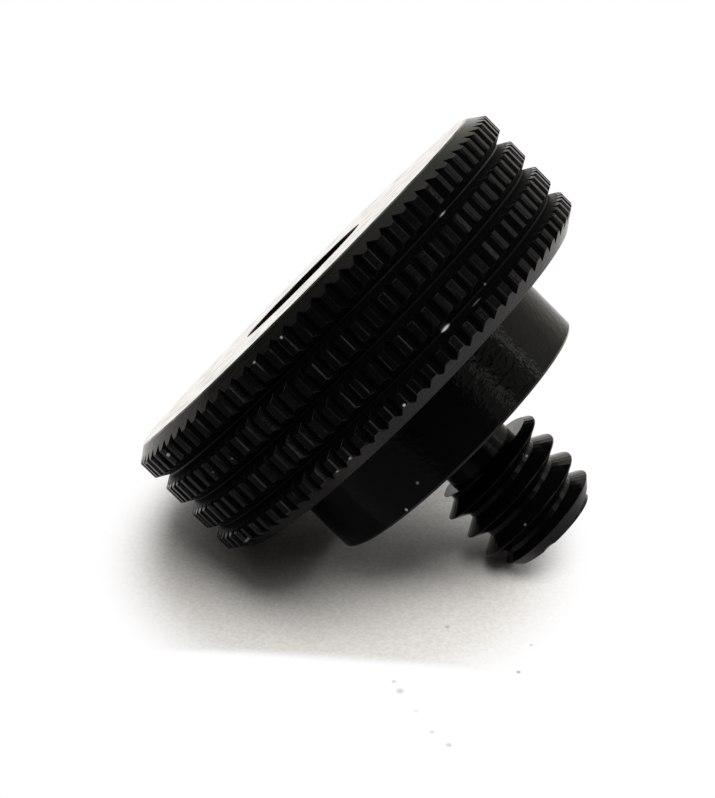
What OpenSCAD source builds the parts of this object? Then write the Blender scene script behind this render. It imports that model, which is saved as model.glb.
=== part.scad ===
// Knurled thumb screw, turned in one piece from round bar: a thick disc head
// with four straight-knurled rings, a plain collar, a relief neck and a short
// right-hand threaded stud.
// It stands on its head: the flat face of the head lies on z = 0, its centre is
// the origin, and the stud points along +Z. All sizes are in millimetres.

/* [Head] */
// Diameter over the knurled rings
head_d = 23.24; // [22.4:0.02:25]
// Number of knurled rings along the head
rings = 4; // [2:1:5]
// Diameter of the flat face inside the bevel
face_d = 21.56; // [20:0.02:22]
// Height of the bevel between the flat face and the first ring
bevel_h = 0.61; // [0.3:0.01:1]
// Height of each knurled ring but the last
ring_h = 0.92; // [0.7:0.01:1.3]
// Height of the last knurled ring, which the lower bevel shortens
last_ring_h = 0.62; // [0.5:0.01:1.3]
// Width of each groove between two rings, at its mouth
groove_w = 0.77; // [0.5:0.01:0.9]
// Depth of each groove
groove_depth = 0.58; // [0.4:0.01:0.8]
// Width of the flat at the bottom of each groove
groove_flat = 0.08; // [0.04:0.01:0.2]
// Height of the bevel under the last ring
under_bevel_h = 0.66; // [0.2:0.01:0.8]
// Diameter of the underside of the head, inside its bevel
under_d = 21.5; // [19:0.02:22.2]

/* [Knurl] */
// Number of straight teeth around the head
tooth_count = 86; // [80:2:90]
// Depth of the V cut between two teeth
tooth_depth = 0.34; // [0.15:0.01:0.42]
// Width of the plain land on top of each tooth
tooth_land = 0.29; // [0.2:0.01:0.45]

/* [Face recess] */
// Diameter of the blind hole in the middle of the face
recess_d = 7.6; // [5:0.02:10]
// Depth of the blind hole
recess_depth = 4.5; // [2:0.1:6]

/* [Collar] */
// Diameter of the plain collar
collar_d = 15.16; // [10:0.02:18]
// Height of the collar above the head
collar_h = 3.55; // [2:0.01:6]
// Size of the small bevel around the collar's end
collar_edge = 0.12; // [0.05:0.01:0.3]

/* [Stud] */
// Major diameter of the thread
thread_d = 6.35; // [6:0.05:7]
// Diameter at the root of the thread
root_d = 4.68; // [4.5:0.02:5]
// Distance from one thread to the next
pitch = 1.27; // [1.2:0.01:1.4]
// Width of the flat on the crest of the thread
crest_flat = 0.07; // [0.04:0.01:0.2]
// Diameter of the relief neck between the collar and the thread
neck_d = 3.88; // [3:0.02:4.3]
// Length of the relief neck
neck_h = 1.8; // [0.8:0.01:2.2]
// Length of the threaded part, from the neck to the tip
thread_h = 4.86; // [4:0.01:12]
// Diameter of the flat shoulder where the neck meets the thread
shoulder_d = 6.1; // [4.5:0.05:6.3]
// Height of the cone between that shoulder and the full thread
lead_h = 0.08; // [0.04:0.01:0.8]
// Diameter of the flat end of the stud
tip_d = 4.7; // [3.5:0.1:5]
// Height of the bevel at the tip
tip_bevel_h = 0.98; // [0.4:0.01:1.2]
// Angle between each flank of the thread and the plane square to the axis
flank_angle = 30; // [27.5:0.5:30]
// Turn of the thread about the stud's axis
thread_turn = 240; // [0:1:359]
// Depth of the small dent in the edge of the tip
dent_depth = 0.07; // [0.02:0.01:0.12]
// Radius of the hollow that the dent leaves
dent_r = 1.2; // [0.8:0.1:2]
// Place of the dent about the stud's axis
dent_turn = 239; // [0:1:359]

/* [Finish] */
// Colour of the black finish
finish_colour = [0.09, 0.09, 0.095];

/* [Hidden] */
head_r = head_d / 2;
face_r = face_d / 2;
under_r = under_d / 2;
ring_pitch = ring_h + groove_w;
knurl_top = bevel_h + (rings - 1) * ring_pitch + last_ring_h;
head_h = knurl_top + under_bevel_h;
groove_r = head_r - groove_depth;
groove_side = (groove_w - groove_flat) / 2;
// Knurl: each flank runs straight from the root to a sharp apex that the
// turned diameter then cuts off, which leaves the land.
tooth_pitch = PI * head_d / tooth_count;
tooth_step = 360 / tooth_count;
knurl_root_r = head_r - tooth_depth;
knurl_apex_r = knurl_root_r
             + tooth_depth * tooth_pitch / (tooth_pitch - tooth_land);
collar_r = collar_d / 2;
collar_top = head_h + collar_h;
neck_r = neck_d / 2;
neck_top = collar_top + neck_h;
shoulder_r = shoulder_d / 2;
thread_r = thread_d / 2;
root_r = root_d / 2;
tip_r = tip_d / 2;
tip_z = neck_top + thread_h;
// The cutter of the thread's groove
thread_depth = thread_r - root_r;
flank_w = thread_depth * tan(flank_angle);
root_flat = pitch - crest_flat - 2 * flank_w;
over_cut = 0.04;
cut_r = thread_r + over_cut;
root_half = root_flat / 2;
cut_half = root_half + flank_w + over_cut * tan(flank_angle);
segments = 40;
cut_start = neck_top - pitch;
cut_turns = (thread_h + 2 * pitch) / pitch;
cut_steps = ceil(cut_turns * segments);
// The ball that leaves the dent leans outward from the corner of the tip
dent_lean = 25;
dent_reach = dent_r - dent_depth;
overlap = 0.5;
$fn = 96;

// Section of the head through its axis, with the bevels and the three grooves
module head_section() {
  groove_edges = [
    for (i = [0 : rings - 2])
      let (z = bevel_h + ring_h + i * ring_pitch)
        each [
          [head_r, z],
          [groove_r, z + groove_side],
          [groove_r, z + groove_side + groove_flat],
          [head_r, z + groove_w]
        ]
  ];
  polygon(concat(
    [[0, 0], [face_r, 0], [head_r, bevel_h]],
    groove_edges,
    [[head_r, knurl_top], [under_r, head_h], [0, head_h]]
  ));
}

// Outline of the straight knurl, seen along the axis
module knurl_outline() {
  polygon([
    for (i = [0 : tooth_count - 1])
      each [
        [knurl_root_r * cos(i * tooth_step), knurl_root_r * sin(i * tooth_step)],
        [knurl_apex_r * cos((i + 0.5) * tooth_step),
         knurl_apex_r * sin((i + 0.5) * tooth_step)]
      ]
  ]);
}

// The head, knurled all the way along and then turned to its section
module head() {
  intersection() {
    rotate_extrude() head_section();
    translate([0, 0, -overlap])
      linear_extrude(head_h + 2 * overlap) knurl_outline();
  }
}

// The collar, with its small end bevel
module collar() {
  rotate_extrude()
    polygon([
      [0, head_h - overlap],
      [collar_r, head_h - overlap],
      [collar_r, collar_top - collar_edge],
      [collar_r - collar_edge, collar_top],
      [0, collar_top]
    ]);
}

// The stud before threading: relief neck, shoulder, starting cone, bevelled tip
module stud_blank() {
  rotate_extrude()
    polygon([
      [0, collar_top - overlap],
      [neck_r, collar_top - overlap],
      [neck_r, neck_top],
      [shoulder_r, neck_top],
      [thread_r, neck_top + lead_h],
      [thread_r, tip_z - tip_bevel_h],
      [tip_r, tip_z],
      [0, tip_z]
    ]);
}

// A point of the groove cutter: step along the helix, radius, height offset
function helix_point(step, r, dz) =
  let (a = thread_turn + 360 * step / segments)
    [r * cos(a), r * sin(a), cut_start + pitch * step / segments + dz];

// The V groove of the thread, as one closed helical solid
module thread_groove() {
  points = [
    for (s = [0 : cut_steps])
      each [
        helix_point(s, root_r, root_half),
        helix_point(s, root_r, -root_half),
        helix_point(s, cut_r, -cut_half),
        helix_point(s, cut_r, cut_half)
      ]
  ];
  sides = [
    for (s = [0 : cut_steps - 1], k = [0 : 3])
      let (a = 4 * s + k, b = 4 * s + (k + 1) % 4)
        each [[a, b, b + 4], [a, b + 4, a + 4]]
  ];
  last = 4 * cut_steps;
  polyhedron(points, concat(
    [[0, 3, 2, 1]],
    sides,
    [[last, last + 1, last + 2, last + 3]]
  ));
}

// The threaded stud, with the small dent in the edge of its tip
module stud() {
  difference() {
    stud_blank();
    thread_groove();
    rotate([0, 0, dent_turn])
      translate([
        tip_r + dent_reach * sin(dent_lean),
        0,
        tip_z + dent_reach * cos(dent_lean)
      ])
        sphere(r = dent_r);
  }
}

// The whole screw, with the blind hole in the middle of its face
module thumb_screw() {
  color(finish_colour)
    difference() {
      union() {
        head();
        collar();
        stud();
      }
      translate([0, 0, -overlap])
        cylinder(h = recess_depth + overlap, d = recess_d);
    }
}

thumb_screw();
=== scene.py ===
import math

import bmesh
import bpy
from mathutils import Matrix, Vector

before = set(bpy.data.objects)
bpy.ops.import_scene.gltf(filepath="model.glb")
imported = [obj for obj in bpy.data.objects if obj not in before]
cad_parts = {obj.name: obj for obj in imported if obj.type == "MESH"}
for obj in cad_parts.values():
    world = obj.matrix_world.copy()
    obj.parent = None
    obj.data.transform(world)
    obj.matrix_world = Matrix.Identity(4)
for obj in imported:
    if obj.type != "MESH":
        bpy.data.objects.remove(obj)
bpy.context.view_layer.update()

# The screw: one piece of aluminium, turned, knurled and threaded, and then
# black anodised. The black is a satin skin, finely marked by the cutting tools,
# rubbed thin on the edges of the knurl and nicked through to the pale metal.
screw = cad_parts["thumb_screw"]

# Sizes in millimetres: where the knurl starts and ends, the height of a ring and
# the step from one ring to the next, the lands, and where the collar starts.
MM = 0.001
knurl_start, knurl_end = 0.61, 6.3
ring_height, ring_step = 0.92, 1.69
land_radius = 11.62
collar_start = 7.0

black = bpy.data.materials.new("black_anodised")
black.use_nodes = True
nodes, links = black.node_tree.nodes, black.node_tree.links
skin = nodes["Principled BSDF"]
skin.inputs["IOR"].default_value = 1.16
skin.inputs["Coat Roughness"].default_value = 0.05


# The next few add their nodes to whichever tree nodes and links name just then.
def feed(socket, value):
    if isinstance(value, bpy.types.NodeSocket):
        links.new(value, socket)
    else:
        socket.default_value = value


def calc(operation, *values):
    sum_node = nodes.new("ShaderNodeMath")
    sum_node.operation = operation
    for socket, value in zip(sum_node.inputs, values):
        feed(socket, value)
    return sum_node.outputs[0]


def vector(operation, first, second=None, scale=None):
    step = nodes.new("ShaderNodeVectorMath")
    step.operation = operation
    feed(step.inputs[0], first)
    if second is not None:
        feed(step.inputs[1], second)
    if scale is not None:
        feed(step.inputs["Scale"], scale)
    is_number = operation in ("LENGTH", "DISTANCE", "DOT_PRODUCT")
    return step.outputs["Value" if is_number else "Vector"]


def fade(value, start, end, low=0.0, high=1.0):
    ramp = nodes.new("ShaderNodeMapRange")
    ramp.interpolation_type = "SMOOTHSTEP"
    for name, amount in (
        ("Value", value), ("From Min", start), ("From Max", end),
        ("To Min", low), ("To Max", high),
    ):
        feed(ramp.inputs[name], amount)
    return ramp.outputs["Result"]


def noise(point, stretch, detail=2.0):
    cloud = nodes.new("ShaderNodeTexNoise")
    cloud.inputs["Scale"].default_value = 1
    cloud.inputs["Detail"].default_value = detail
    feed(cloud.inputs["Vector"], vector("MULTIPLY", point, stretch))
    return cloud.outputs["Fac"]


def blend_colour(amount, first, second):
    mix = nodes.new("ShaderNodeMix")
    mix.data_type = "RGBA"
    feed(mix.inputs["Factor"], amount)
    feed(mix.inputs["A"], first)
    feed(mix.inputs["B"], second)
    return mix.outputs["Result"]


def all_but(mask, share):
    return calc("SUBTRACT", 1, calc("MULTIPLY", mask, share))


in_mm = vector("SCALE", nodes.new("ShaderNodeTexCoord").outputs["Object"], scale=1 / MM)
axes = nodes.new("ShaderNodeSeparateXYZ")
feed(axes.inputs["Vector"], in_mm)
height = axes.outputs["Z"]
radius = vector("LENGTH", vector("MULTIPLY", in_mm, (1, 1, 0)))

# Where things are: the flat face, the knurled band with its cuts and its last two
# grooves, the edges of its lands, and the collar.
face = fade(height, 0.03, 0.08, 1, 0)
knurl_band = calc(
    "MULTIPLY", fade(height, knurl_start + 0.01, knurl_start + 0.05),
    fade(height, knurl_end - 0.04, knurl_end, 1, 0),
)
cuts = calc(
    "MULTIPLY", knurl_band, fade(radius, land_radius - 0.22, land_radius - 0.12, 1, 0),
)
low_groove = calc(
    "MULTIPLY", fade(height, 2.6, 2.7),
    calc(
        "MULTIPLY", knurl_band,
        fade(radius, land_radius - 0.54, land_radius - 0.42, 1, 0),
    ),
)
up_ring = calc("MODULO", calc("SUBTRACT", height, knurl_start), ring_step)
in_ring = calc(
    "MULTIPLY", fade(up_ring, 0, 0.06),
    fade(up_ring, ring_height - 0.08, ring_height - 0.02, 1, 0),
)
land_edge = calc(
    "MULTIPLY", fade(radius, land_radius - 0.12, land_radius - 0.05),
    fade(radius, land_radius - 0.03, land_radius - 0.008, 1, 0),
)
collar = calc(
    "MULTIPLY", fade(height, collar_start, collar_start + 0.05), fade(radius, 7.3, 7.4),
)

# Wear thins the black here and there along the edges of the lands.
patchy = fade(noise(in_mm, (1.3, 1.3, 0.4)), 0.42, 0.66)
wear = calc("MULTIPLY", calc("MULTIPLY", land_edge, in_ring), patchy)

# Small nicks: the place of each, half its length round the screw, half its height
# and how far it goes through the black. A few more lie strewn over the far half.
nicks = (
    (1.52, -11.48, 0.98, 0.1, 0.09, 0.5),
    (4.74, -10.55, 0.67, 0.06, 0.06, 0.4),
    (-5.78, -10.02, 0.58, 0.08, 0.07, 0.3),
    (-7.16, -9.15, 0.63, 0.07, 0.08, 0.4),
    (-8.36, -8.08, 6.25, 0.08, 0.07, 0.6),
    (-4.97, -10.43, 6.35, 0.09, 0.06, 0.3),
    (-5.77, -10.08, 6.30, 0.08, 0.06, 0.4),
    (-10.82, -2.19, 5.27, 0.07, 0.07, 0.3),
    (2.22, -11.23, 6.25, 0.3, 0.07, 0.3),
    (-3.54, -6.70, 9.69, 0.08, 0.08, 0.2),
    (-2.27, -7.23, 10.30, 0.07, 0.09, 0.5),
    (-2.34, 0.10, 13.37, 0.1, 0.07, 0.3),
    (-1.76, -2.52, 15.38, 0.08, 0.08, 0.25),
    (-9.94, -4.80, 5.29, 0.26, 0.08, 1.0),
    (-10.97, -1.19, 1.92, 0.24, 0.04, 0.5),
    (-10.81, -3.29, 5.49, 0.3, 0.035, 0.1),
    (-1.73, -11.49, 2.93, 0.06, 0.06, 0.12),
    (-0.15, -11.61, 2.84, 0.05, 0.05, 0.12),
)
strewn = nodes.new("ShaderNodeTexVoronoi")
strewn.inputs["Scale"].default_value = 0.5
feed(strewn.inputs["Vector"], in_mm)
far_half = fade(vector("DOT_PRODUCT", in_mm, (0.777, 0.629, 0)), 0.5, 2)
nicked = calc(
    "MULTIPLY", far_half, fade(strewn.outputs["Distance"], 0.03, 0.06, 0.45, 0),
)
for x, y, z, half_length, half_height, depth in nicks:
    slant = half_length / half_height
    stretched = vector("MULTIPLY", in_mm, (1, 1, slant))
    from_nick = vector("DISTANCE", stretched, (x, y, z * slant))
    nick = fade(from_nick, half_length * 0.4, half_length * 1.2, depth, 0)
    nicked = calc("MAXIMUM", nicked, nick)

full_black = (0.0018, 0.0018, 0.0019, 1)
thin_black = (0.026, 0.0256, 0.0245, 1)
bare_metal = (0.75, 0.74, 0.72, 1)
colour = blend_colour(wear, full_black, thin_black)
feed(skin.inputs["Base Color"], blend_colour(nicked, colour, bare_metal))

# The skin is satin, smoother on the collar and smoothest on the face, and dull in
# the cuts, in the last two grooves and wherever it is worn or nicked.
satin = fade(noise(in_mm, (2.5, 2.5, 2.5)), 0.3, 0.7, 0.11, 0.19)
dullness = calc("MULTIPLY", satin, all_but(collar, 0.5))
for mask, at_least in (
    (low_groove, 0.6),
    (calc("MAXIMUM", wear, nicked), 0.4),
    (cuts, 0.4),
):
    dullness = calc("MAXIMUM", dullness, calc("MULTIPLY", mask, at_least))
feed(skin.inputs["Roughness"], calc("MULTIPLY", dullness, all_but(face, 0.6)))

# The face is polished in patches by what it has rubbed against.
rubbed = fade(noise(in_mm, (0.9, 0.9, 0.9), 4), 0.36, 0.58)
feed(skin.inputs["Coat Weight"], calc("MULTIPLY", face, rubbed))

# The tools left fine marks round the screw, over an even finer grain. The collar
# is more ragged, the face almost plain, and every sharp edge a little rounded.
round_screw = nodes.new("ShaderNodeCombineXYZ")
feed(round_screw.inputs["X"], radius)
feed(round_screw.inputs["Y"], height)
feed(round_screw.inputs["Z"], calc("MULTIPLY", axes.outputs["X"], 0.08))
tool_marks = noise(round_screw.outputs["Vector"], (4.5, 4.5, 1), 3)
fine = noise(in_mm, (5, 5, 5))
marks = calc("ADD", calc("MULTIPLY", tool_marks, 0.5), calc("MULTIPLY", fine, 0.5))
ragged = calc("MULTIPLY", noise(in_mm, (2.2, 2.2, 3.2)), calc("MULTIPLY", collar, 1.6))
marks = calc("ADD", marks, ragged)
rounded = nodes.new("ShaderNodeBevel")
rounded.samples = 6
rounded.inputs["Radius"].default_value = 0.045 * MM
relief = nodes.new("ShaderNodeBump")
relief.inputs["Distance"].default_value = 0.015 * MM
feed(relief.inputs["Height"], calc("MULTIPLY", marks, all_but(face, 0.9)))
feed(relief.inputs["Normal"], rounded.outputs["Normal"])
feed(skin.inputs["Normal"], relief.outputs["Normal"])
screw.data.materials.clear()
screw.data.materials.append(black)

# The floor: pale paper, touched by the edge of the head and by the last crest of
# the thread, as when the screw lies on its side. It is seen from above only.
crest_radius, crest_height = 3.175, 16.19
contact = math.radians(-13.76)
outward = Vector((math.cos(contact), math.sin(contact), 0))
rim_point = (outward * land_radius + Vector((0, 0, knurl_end))) * MM
crest_point = (outward * crest_radius + Vector((0, 0, crest_height))) * MM
along = (crest_point - rim_point).normalized()
floor_up = along.cross(Vector((0, 0, 1)).cross(outward)).normalized()
heading = Vector((0.77230691, 0.6268628, 0.10288372))
floor_ahead = (heading - floor_up * heading.dot(floor_up)).normalized()
floor_right = floor_ahead.cross(floor_up)


def on_floor(right, ahead):
    return rim_point + (floor_right * right + floor_ahead * ahead) * MM


floor_mesh = bpy.data.meshes.new("floor")
bm = bmesh.new()
bmesh.ops.create_circle(bm, cap_ends=True, segments=96, radius=400 * MM)
tilt = Matrix((along, floor_up.cross(along), floor_up)).transposed().to_4x4()
gap = floor_up * -0.02 * MM
laid = Matrix.Translation(rim_point + gap) @ tilt
bmesh.ops.transform(bm, matrix=laid, verts=bm.verts)
bm.to_mesh(floor_mesh)
bm.free()
floor = bpy.data.objects.new("floor", floor_mesh)
bpy.context.collection.objects.link(floor)

paper = bpy.data.materials.new("floor_paper")
paper.use_nodes = True
nodes, links = paper.node_tree.nodes, paper.node_tree.links
matt = nodes["Principled BSDF"]
matt.inputs["Roughness"].default_value = 1
matt.inputs["Specular IOR Level"].default_value = 0
on_paper = nodes.new("ShaderNodeTexCoord").outputs["Object"]
ray = nodes.new("ShaderNodeLightPath").outputs

# Dust on the paper: how far right and ahead of where the head's edge touches, the
# size of the speck and how dark it is.
grit = (
    (6.82, -14.99, 0.12, 0.3),
    (7.08, -15.63, 0.2, 0.3),
    (7.76, -16.96, 0.12, 0.15),
    (8.41, -18.31, 0.12, 0.25),
    (9.11, -19.12, 0.15, 0.3),
    (12.47, -14.34, 0.12, 0.5),
    (9.37, -11.12, 0.14, 0.35),
    (13.19, -12.43, 0.1, 0.3),
)
dust_colour = (0.1, 0.1, 0.1, 1)
dust = 0.0
for right, ahead, size, darkness in grit:
    from_speck = vector("DISTANCE", on_paper, on_floor(right, ahead))
    speck = fade(from_speck, size * 0.5 * MM, size * 1.1 * MM, darkness, 0)
    dust = calc("MAXIMUM", dust, speck)

# The sheet itself. Close in front of the screw, what the screw mirrors of it is painted
# near-black: a painted shade standing for the screw's shadow there.
fibre = fade(noise(on_paper, (5500, 5500, 5500)), 0.3, 0.7)
sheet = blend_colour(fibre, (0.82, 0.79, 0.74, 1), (0.94, 0.91, 0.865, 1))
from_rim = vector("SUBTRACT", on_paper, rim_point)
to_back = vector("DOT_PRODUCT", from_rim, floor_ahead)
to_right = vector("DOT_PRODUCT", from_rim, floor_right)
in_front = calc(
    "MULTIPLY", fade(to_back, -12 * MM, 6 * MM, 0.75, 0),
    fade(to_right, 6 * MM, 12 * MM, 1, 0),
)
# Painted shade: reflections see the sheet close in front of the screw near-black.
painted_mirror_shade = calc("MULTIPLY", ray["Is Glossy Ray"], in_front)
sheet = blend_colour(painted_mirror_shade, sheet, (0.02, 0.02, 0.02, 1))
feed(matt.inputs["Base Color"], blend_colour(dust, sheet, dust_colour))

# Away from the shadow, and past a line close in front of it, the sheet is plain
# white to the camera and to the screw. The screw mirrors the front of it dimmed: a
# painted shade in its reflections.
outside = fade(vector("DISTANCE", on_paper, on_floor(4.56, -4.66)), 8.5 * MM, 12.5 * MM)
from_line = vector("SUBTRACT", on_paper, on_floor(-6.08, -12.33))
across_line = floor_right * -0.095 + floor_ahead * -0.995
past_line = fade(vector("DOT_PRODUCT", from_line, across_line), -0.42 * MM, 0.42 * MM)
bleach = calc(
    "MULTIPLY", calc("MAXIMUM", outside, past_line),
    calc("MAXIMUM", ray["Is Camera Ray"], ray["Is Glossy Ray"]),
)
# Painted shade: in reflections the white in front of the screw is dimmed down to 0.42.
mirror_white_painted_shade = calc(
    "MAXIMUM", fade(to_back, -12 * MM, 6 * MM, 0.42, 1),
    fade(to_right, 8 * MM, 24 * MM, 0.42, 1),
)
warm = calc("MULTIPLY", ray["Is Glossy Ray"], fade(to_back, -12 * MM, 6 * MM))
white_sheet = blend_colour(warm, (1, 1, 1, 1), (1, 0.965, 0.925, 1))
white = nodes.new("ShaderNodeEmission")
feed(white.inputs["Strength"], calc("MAXIMUM", ray["Is Camera Ray"], mirror_white_painted_shade))
feed(white.inputs["Color"], blend_colour(dust, white_sheet, dust_colour))
seen = nodes.new("ShaderNodeMixShader")
feed(seen.inputs["Fac"], bleach)
feed(seen.inputs[1], matt.outputs["BSDF"])
feed(seen.inputs[2], white.outputs["Emission"])
underside = nodes.new("ShaderNodeMixShader")
feed(underside.inputs["Fac"], nodes.new("ShaderNodeNewGeometry").outputs["Backfacing"])
feed(underside.inputs[1], seen.outputs["Shader"])
feed(underside.inputs[2], nodes.new("ShaderNodeBsdfTransparent").outputs["BSDF"])
feed(nodes["Material Output"].inputs["Surface"], underside.outputs["Shader"])
floor_mesh.materials.append(paper)

# The camera looks along the head's flat face, from just beyond it, and is
# turned over so that the stud points down and to the right.
camera_data = bpy.data.cameras.new("camera")
camera_data.lens = 89.31
camera_data.sensor_width = 36
camera_data.sensor_fit = "HORIZONTAL"
camera_data.clip_start = 5 * MM
camera = bpy.data.objects.new("camera", camera_data)
bpy.context.collection.objects.link(camera)
turn, tip, roll = (math.radians(angle) for angle in (-50.935, 95.905, 134.666))
camera.matrix_world = (
    Matrix.Translation(Vector((-64.596, -55.248, -2.918)) * MM)
    @ Matrix.Rotation(turn, 4, "Z")
    @ Matrix.Rotation(tip, 4, "X")
    @ Matrix.Rotation(roll, 4, "Z")
)
bpy.context.scene.camera = camera

# The lamp: one soft round box, high over the floor and a little towards the
# camera. It faces the middle of the screw, and the camera doesn't see it.
lamp_data = bpy.data.lights.new("key_box", "AREA")
lamp_data.shape = "DISK"
lamp_data.size = 165 * MM
lamp_data.energy = 0.55
lamp = bpy.data.objects.new("key_box", lamp_data)
bpy.context.collection.objects.link(lamp)
to_lamp = (floor_up * 0.935 - floor_ahead * 0.355).normalized()
lamp.location = Vector((0, 0, 8 * MM)) + to_lamp * 300 * MM
lamp.rotation_mode = "QUATERNION"
lamp.rotation_quaternion = to_lamp.to_track_quat("Z", "Y")
lamp.visible_camera = False

# The room: a tall pale screen stands behind the screw and round to its right, and
# the camera's side is dark. Matt surfaces get plainer daylight from the same side,
# and the camera itself sees plain white.
room = bpy.data.worlds.new("room")
bpy.context.scene.world = room
room.use_nodes = True
nodes, links = room.node_tree.nodes, room.node_tree.links
outlook = nodes.new("ShaderNodeTexCoord").outputs["Generated"]
room_ray = nodes.new("ShaderNodeLightPath").outputs


def grey_ramp(value, stops):
    ramp = nodes.new("ShaderNodeValToRGB")
    points = ramp.color_ramp.elements
    points[0].position, points[1].position = stops[0][0], stops[-1][0]
    for at, _ in stops[1:-1]:
        points.new(at)
    for point, (_, grey) in zip(points, stops):
        point.color = (grey, grey, grey, 1)
    feed(ramp.inputs["Fac"], value)
    return ramp.outputs["Color"]


def by_degrees(*stops):
    return tuple((0.5 + degrees / 360, grey) for degrees, grey in stops)


forward, sideways, upward = (
    vector("DOT_PRODUCT", outlook, direction)
    for direction in (floor_ahead, floor_right, floor_up)
)
bearing = nodes.new("ShaderNodeMapRange")
bearing.inputs["From Min"].default_value = -math.pi
bearing.inputs["From Max"].default_value = math.pi
feed(bearing.inputs["Value"], calc("ARCTAN2", sideways, forward))

# The screen, with its strips, as the bearing to the right of straight ahead and
# the grey there, and then as the height and the share of that grey.
around = grey_ramp(bearing.outputs["Result"], by_degrees(
    (-180, 0.021),
    (-64, 0.032),
    (-59, 0.096),
    (-50, 0.096),
    (-45, 0.24),
    (-17, 0.24),
    (-12, 0.16),
    (0, 0.16),
    (30, 0.226),
    (52, 0.226),
    (66, 0.317),
    (80, 0.355),
    (82.5, 1),
    (86, 1),
    (88.5, 0.242),
    (112, 0.174),
    (121, 0.189),
    (124, 0.62),
    (128, 0.62),
    (131, 0.189),
    (142, 0.189),
    (147, 0.021),
    (180, 0.021),
))
tall = grey_ramp(upward, ((0.0, 1), (0.665, 1), (0.7, 0.12), (1.0, 0.12)))
screen = vector("SCALE", vector("MULTIPLY", around, tall), scale=4.5)
warm_screen = vector("MULTIPLY", screen, (1, 0.985, 0.87))

open_side = grey_ramp(bearing.outputs["Result"], by_degrees(
    (-180, 0), (-22, 0), (-14, 1), (105, 1), (112, 0), (180, 0),
))
open_height = grey_ramp(
    upward, ((0.0, 0.4), (0.17, 0.7), (0.34, 1), (0.88, 1), (0.9, 0), (1.0, 0)),
)
ceiling = grey_ramp(upward, ((0.0, 0), (0.68, 0), (0.74, 0.4), (1.0, 0.4)))
daylight = vector("SCALE", vector("MULTIPLY", open_side, open_height), scale=1.6)
daylight = vector("ADD", daylight, ceiling)

lit = blend_colour(room_ray["Is Glossy Ray"], daylight, warm_screen)
lit = blend_colour(room_ray["Is Camera Ray"], lit, (1, 1, 1, 1))
feed(nodes["Background"].inputs["Color"], lit)

bpy.context.scene.view_settings.view_transform = "Standard"
